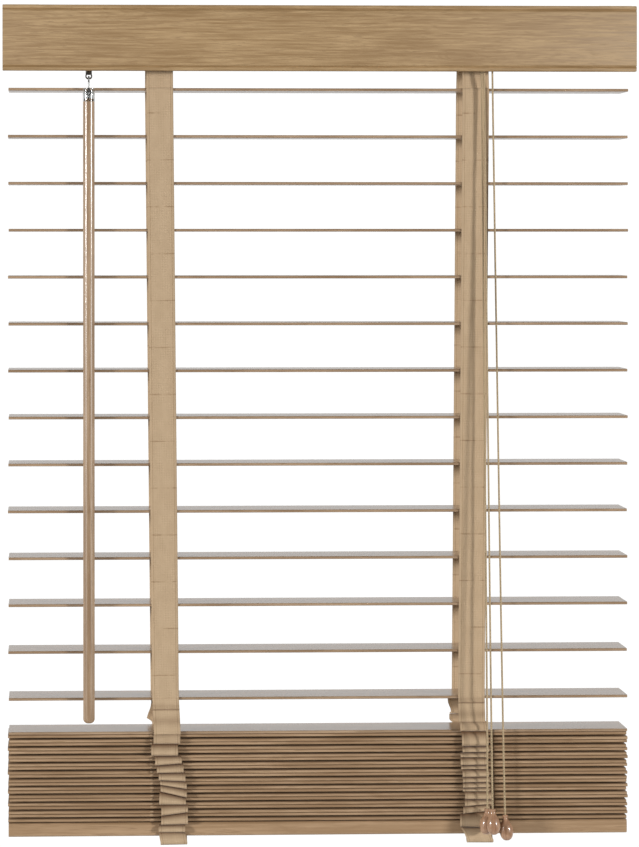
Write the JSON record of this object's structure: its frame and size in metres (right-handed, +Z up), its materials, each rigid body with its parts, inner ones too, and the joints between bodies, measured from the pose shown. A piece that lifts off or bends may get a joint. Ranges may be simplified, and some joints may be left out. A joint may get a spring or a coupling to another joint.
{
  "type": "venetian blind",
  "caption": "Wooden slatted window blind with cloth ladder tapes, valance, tilt wand, pull cords and turned tassels, partly lowered with its lower slats stacked.",
  "frame": {"origin": "middle of the ceiling-screw pattern, on the top faces of the installation brackets", "axes": "+Z up, +X to the right as seen from the room, the room side at -Y; the blind hangs below the origin"},
  "size_m": [0.6, 0.0886, 0.7971],
  "materials": {
    "wood": "honey lacquer over open straight grain",
    "rod_wood": "honey lacquer, turned",
    "steel_white": "cream stove enamel",
    "steel": "bright zinc plating",
    "brass": "bright, knurled",
    "white_plastic": "moulded, satin",
    "clear_plastic": "clear, glossy",
    "tape": "woven herringbone cotton tape",
    "cord": "braided cord",
    "tassel_wood": "glossy lacquer, turned"
  },
  "bodies": {
    "headrail_assembly": {"headrail": "steel_white", "headrail_end_caps": "white_plastic", "brackets": "steel_white", "valance": "wood", "valance_clips": "clear_plastic", "tilter_housing": "white_plastic", "drum_cradles": "white_plastic", "cord_lock_housing": "white_plastic", "lift_cords": "cord", "pull_cord_1": "cord", "pull_cord_2": "cord", "pull_cord_3": "cord", "tape_tops": "tape", "tape_folds": "tape"},
    "slat_01": {"slat_01": "wood"},
    "slat_02": {"slat_02": "wood"},
    "slat_03": {"slat_03": "wood"},
    "slat_04": {"slat_04": "wood"},
    "slat_05": {"slat_05": "wood"},
    "slat_06": {"slat_06": "wood"},
    "slat_07": {"slat_07": "wood"},
    "slat_08": {"slat_08": "wood"},
    "slat_09": {"slat_09": "wood"},
    "slat_10": {"slat_10": "wood"},
    "slat_11": {"slat_11": "wood"},
    "slat_12": {"slat_12": "wood"},
    "slat_13": {"slat_13": "wood"},
    "slat_14": {"slat_14": "wood"},
    "front_ladder": {"front_ladder_tapes": "tape"},
    "back_ladder": {"back_ladder_tapes": "tape"},
    "tilt_shaft": {"tilt_rod": "steel", "tape_drums": "white_plastic", "tilter_gear": "white_plastic"},
    "tilter_stem": {"tilter_stem": "steel"},
    "wand_hook": {"wand_hook": "steel"},
    "wand_sleeve": {"wand_sleeve": "clear_plastic"},
    "wand_rod": {"wand_rod": "rod_wood"},
    "bottom_rail": {"bottom_rail": "wood", "rail_plugs": "white_plastic", "rail_slats": "wood"},
    "stack_slat_01": {"stack_slat_01": "wood"},
    "stack_slat_02": {"stack_slat_02": "wood"},
    "stack_slat_03": {"stack_slat_03": "wood"},
    "stack_slat_04": {"stack_slat_04": "wood"},
    "stack_slat_05": {"stack_slat_05": "wood"},
    "stack_slat_06": {"stack_slat_06": "wood"},
    "stack_slat_07": {"stack_slat_07": "wood"},
    "stack_slat_08": {"stack_slat_08": "wood"},
    "stack_slat_09": {"stack_slat_09": "wood"},
    "stack_slat_10": {"stack_slat_10": "wood"},
    "stack_slat_11": {"stack_slat_11": "wood"},
    "stack_slat_12": {"stack_slat_12": "wood"},
    "stack_slat_13": {"stack_slat_13": "wood"},
    "stack_slat_14": {"stack_slat_14": "wood"},
    "stack_slat_15": {"stack_slat_15": "wood"},
    "stack_slat_16": {"stack_slat_16": "wood"},
    "tassels": {"tassels": "tassel_wood"},
    "bracket_gate_left": {"bracket_gate_left": "steel_white"},
    "bracket_gate_right": {"bracket_gate_right": "steel_white"},
    "cord_lock_roller": {"cord_lock_roller": "brass"}
  },
  "joints": [
    {"name": "slat_01_tilt", "type": "hinge", "parent": "headrail_assembly", "child": "slat_01", "pos_m": [0, 0, -0.0798], "axis": [1, 0, 0], "range_deg": [-72, 72], "deforming": ["tape_tops"]},
    {"name": "slat_02_tilt", "type": "hinge", "parent": "headrail_assembly", "child": "slat_02", "pos_m": [0, 0, -0.1243], "axis": [1, 0, 0], "range_deg": [-73, 73]},
    {"name": "slat_03_tilt", "type": "hinge", "parent": "headrail_assembly", "child": "slat_03", "pos_m": [0, 0, -0.1688], "axis": [1, 0, 0], "range_deg": [-73, 73]},
    {"name": "slat_04_tilt", "type": "hinge", "parent": "headrail_assembly", "child": "slat_04", "pos_m": [0, 0, -0.2133], "axis": [1, 0, 0], "range_deg": [-73, 73]},
    {"name": "slat_05_tilt", "type": "hinge", "parent": "headrail_assembly", "child": "slat_05", "pos_m": [0, 0, -0.2578], "axis": [1, 0, 0], "range_deg": [-73, 73]},
    {"name": "slat_06_tilt", "type": "hinge", "parent": "headrail_assembly", "child": "slat_06", "pos_m": [0, 0, -0.3023], "axis": [1, 0, 0], "range_deg": [-73, 73]},
    {"name": "slat_07_tilt", "type": "hinge", "parent": "headrail_assembly", "child": "slat_07", "pos_m": [0, 0, -0.3468], "axis": [1, 0, 0], "range_deg": [-73, 73]},
    {"name": "slat_08_tilt", "type": "hinge", "parent": "headrail_assembly", "child": "slat_08", "pos_m": [0, 0, -0.3913], "axis": [1, 0, 0], "range_deg": [-73, 73]},
    {"name": "slat_09_tilt", "type": "hinge", "parent": "headrail_assembly", "child": "slat_09", "pos_m": [0, 0, -0.4358], "axis": [1, 0, 0], "range_deg": [-73, 73]},
    {"name": "slat_10_tilt", "type": "hinge", "parent": "headrail_assembly", "child": "slat_10", "pos_m": [0, 0, -0.4803], "axis": [1, 0, 0], "range_deg": [-73, 73]},
    {"name": "slat_11_tilt", "type": "hinge", "parent": "headrail_assembly", "child": "slat_11", "pos_m": [0, 0, -0.5248], "axis": [1, 0, 0], "range_deg": [-73, 73]},
    {"name": "slat_12_tilt", "type": "hinge", "parent": "headrail_assembly", "child": "slat_12", "pos_m": [0, 0, -0.5693], "axis": [1, 0, 0], "range_deg": [-73, 73]},
    {"name": "slat_13_tilt", "type": "hinge", "parent": "headrail_assembly", "child": "slat_13", "pos_m": [0, 0, -0.6138], "axis": [1, 0, 0], "range_deg": [-73, 73]},
    {"name": "slat_14_tilt", "type": "hinge", "parent": "headrail_assembly", "child": "slat_14", "pos_m": [0, 0, -0.6583], "axis": [1, 0, 0], "range_deg": [-73, 73]},
    {"name": "front_ladder_level", "type": "hinge", "parent": "slat_01", "child": "front_ladder", "pos_m": [0, -0.0237, -0.0798], "axis": [1, 0, 0], "range_deg": [-73, 73]},
    {"name": "back_ladder_level", "type": "hinge", "parent": "slat_01", "child": "back_ladder", "pos_m": [0, 0.0237, -0.0798], "axis": [1, 0, 0], "range_deg": [-73, 73]},
    {"name": "tilt_rod_turn", "type": "hinge", "parent": "headrail_assembly", "child": "tilt_shaft", "pos_m": [0, 0, -0.0225], "axis": [1, 0, 0], "range_deg": [-91, 91]},
    {"name": "stem_turn", "type": "hinge", "parent": "headrail_assembly", "child": "tilter_stem", "pos_m": [-0.2188, -0.034, -0.0703], "axis": [0, 0.4086, 0.9127], "range_deg": [-1085, 1085]},
    {"name": "hook_turn", "type": "hinge", "parent": "headrail_assembly", "child": "wand_hook", "pos_m": [-0.2188, -0.034, -0.075], "axis": [0, 0, 1], "range_deg": [-1085, 1085]},
    {"name": "wand_swing", "type": "hinge", "parent": "headrail_assembly", "child": "wand_sleeve", "pos_m": [-0.2188, -0.034, -0.083], "axis": [0, 1, 0], "range_deg": [-25, 25]},
    {"name": "wand_turn", "type": "hinge", "parent": "wand_sleeve", "child": "wand_rod", "pos_m": [-0.2188, -0.034, -0.083], "axis": [0, 0, 1], "range_deg": [-1085, 1085]},
    {"name": "lift", "type": "slide", "parent": "headrail_assembly", "child": "bottom_rail", "axis": [0, 0, -1], "range_m": [0, 0.66373], "deforming": ["tape_folds", "lift_cords", "pull_cord_1", "pull_cord_2", "pull_cord_3"]},
    {"name": "stack_slat_01_lower", "type": "slide", "parent": "headrail_assembly", "child": "stack_slat_01", "axis": [0, 0, -1], "range_m": [0, 0.01305]},
    {"name": "stack_slat_02_lower", "type": "slide", "parent": "headrail_assembly", "child": "stack_slat_02", "axis": [0, 0, -1], "range_m": [0, 0.05455]},
    {"name": "stack_slat_03_lower", "type": "slide", "parent": "headrail_assembly", "child": "stack_slat_03", "axis": [0, 0, -1], "range_m": [0, 0.09451]},
    {"name": "stack_slat_04_lower", "type": "slide", "parent": "headrail_assembly", "child": "stack_slat_04", "axis": [0, 0, -1], "range_m": [0, 0.13601]},
    {"name": "stack_slat_05_lower", "type": "slide", "parent": "headrail_assembly", "child": "stack_slat_05", "axis": [0, 0, -1], "range_m": [0, 0.17597]},
    {"name": "stack_slat_06_lower", "type": "slide", "parent": "headrail_assembly", "child": "stack_slat_06", "axis": [0, 0, -1], "range_m": [0, 0.21747]},
    {"name": "stack_slat_07_lower", "type": "slide", "parent": "headrail_assembly", "child": "stack_slat_07", "axis": [0, 0, -1], "range_m": [0, 0.25743]},
    {"name": "stack_slat_08_lower", "type": "slide", "parent": "headrail_assembly", "child": "stack_slat_08", "axis": [0, 0, -1], "range_m": [0, 0.29893]},
    {"name": "stack_slat_09_lower", "type": "slide", "parent": "headrail_assembly", "child": "stack_slat_09", "axis": [0, 0, -1], "range_m": [0, 0.33889]},
    {"name": "stack_slat_10_lower", "type": "slide", "parent": "headrail_assembly", "child": "stack_slat_10", "axis": [0, 0, -1], "range_m": [0, 0.38039]},
    {"name": "stack_slat_11_lower", "type": "slide", "parent": "headrail_assembly", "child": "stack_slat_11", "axis": [0, 0, -1], "range_m": [0, 0.42035]},
    {"name": "stack_slat_12_lower", "type": "slide", "parent": "headrail_assembly", "child": "stack_slat_12", "axis": [0, 0, -1], "range_m": [0, 0.46185]},
    {"name": "stack_slat_13_lower", "type": "slide", "parent": "headrail_assembly", "child": "stack_slat_13", "axis": [0, 0, -1], "range_m": [0, 0.50181]},
    {"name": "stack_slat_14_lower", "type": "slide", "parent": "headrail_assembly", "child": "stack_slat_14", "axis": [0, 0, -1], "range_m": [0, 0.54331]},
    {"name": "stack_slat_15_lower", "type": "slide", "parent": "headrail_assembly", "child": "stack_slat_15", "axis": [0, 0, -1], "range_m": [0, 0.58327]},
    {"name": "stack_slat_16_lower", "type": "slide", "parent": "headrail_assembly", "child": "stack_slat_16", "axis": [0, 0, -1], "range_m": [0, 0.62477]},
    {"name": "tassels_rise", "type": "slide", "parent": "headrail_assembly", "child": "tassels", "axis": [0, 0, 1], "range_m": [0, 0.66473]},
    {"name": "gate_left_slide", "type": "slide", "parent": "headrail_assembly", "child": "bracket_gate_left", "axis": [0, 0, -1], "range_m": [0, 0.036]},
    {"name": "gate_right_slide", "type": "slide", "parent": "headrail_assembly", "child": "bracket_gate_right", "axis": [0, 0, -1], "range_m": [0, 0.036]},
    {"name": "lock_roller_slide", "type": "slide", "parent": "headrail_assembly", "child": "cord_lock_roller", "axis": [0, 0, 1], "range_m": [0, 0.008]}
  ],
  "couplings": [
    {"joint": "slat_02_tilt", "follows": "slat_01_tilt", "ratio": 1},
    {"joint": "slat_03_tilt", "follows": "slat_01_tilt", "ratio": 1},
    {"joint": "slat_04_tilt", "follows": "slat_01_tilt", "ratio": 1},
    {"joint": "slat_05_tilt", "follows": "slat_01_tilt", "ratio": 1},
    {"joint": "slat_06_tilt", "follows": "slat_01_tilt", "ratio": 1},
    {"joint": "slat_07_tilt", "follows": "slat_01_tilt", "ratio": 1},
    {"joint": "slat_08_tilt", "follows": "slat_01_tilt", "ratio": 1},
    {"joint": "slat_09_tilt", "follows": "slat_01_tilt", "ratio": 1},
    {"joint": "slat_10_tilt", "follows": "slat_01_tilt", "ratio": 1},
    {"joint": "slat_11_tilt", "follows": "slat_01_tilt", "ratio": 1},
    {"joint": "slat_12_tilt", "follows": "slat_01_tilt", "ratio": 1},
    {"joint": "slat_13_tilt", "follows": "slat_01_tilt", "ratio": 1},
    {"joint": "slat_14_tilt", "follows": "slat_01_tilt", "ratio": 1},
    {"joint": "front_ladder_level", "follows": "slat_01_tilt", "ratio": -1},
    {"joint": "back_ladder_level", "follows": "slat_01_tilt", "ratio": -1},
    {"joint": "tilt_rod_turn", "follows": "slat_01_tilt", "ratio": 1.25},
    {"joint": "stem_turn", "follows": "slat_01_tilt", "ratio": 15},
    {"joint": "hook_turn", "follows": "slat_01_tilt", "ratio": 15},
    {"joint": "wand_turn", "follows": "slat_01_tilt", "ratio": 15},
    {"joint": "stack_slat_01_lower", "follows": "lift", "ratio": 0.018155},
    {"joint": "stack_slat_02_lower", "follows": "lift", "ratio": 0.08068},
    {"joint": "stack_slat_03_lower", "follows": "lift", "ratio": 0.14089},
    {"joint": "stack_slat_04_lower", "follows": "lift", "ratio": 0.20341},
    {"joint": "stack_slat_05_lower", "follows": "lift", "ratio": 0.26362},
    {"joint": "stack_slat_06_lower", "follows": "lift", "ratio": 0.32614},
    {"joint": "stack_slat_07_lower", "follows": "lift", "ratio": 0.38635},
    {"joint": "stack_slat_08_lower", "follows": "lift", "ratio": 0.44887},
    {"joint": "stack_slat_09_lower", "follows": "lift", "ratio": 0.50908},
    {"joint": "stack_slat_10_lower", "follows": "lift", "ratio": 0.5716},
    {"joint": "stack_slat_11_lower", "follows": "lift", "ratio": 0.63181},
    {"joint": "stack_slat_12_lower", "follows": "lift", "ratio": 0.69433},
    {"joint": "stack_slat_13_lower", "follows": "lift", "ratio": 0.75454},
    {"joint": "stack_slat_14_lower", "follows": "lift", "ratio": 0.81706},
    {"joint": "stack_slat_15_lower", "follows": "lift", "ratio": 0.87727},
    {"joint": "stack_slat_16_lower", "follows": "lift", "ratio": 0.9398},
    {"joint": "tassels_rise", "follows": "lift", "ratio": 1}
  ]
}
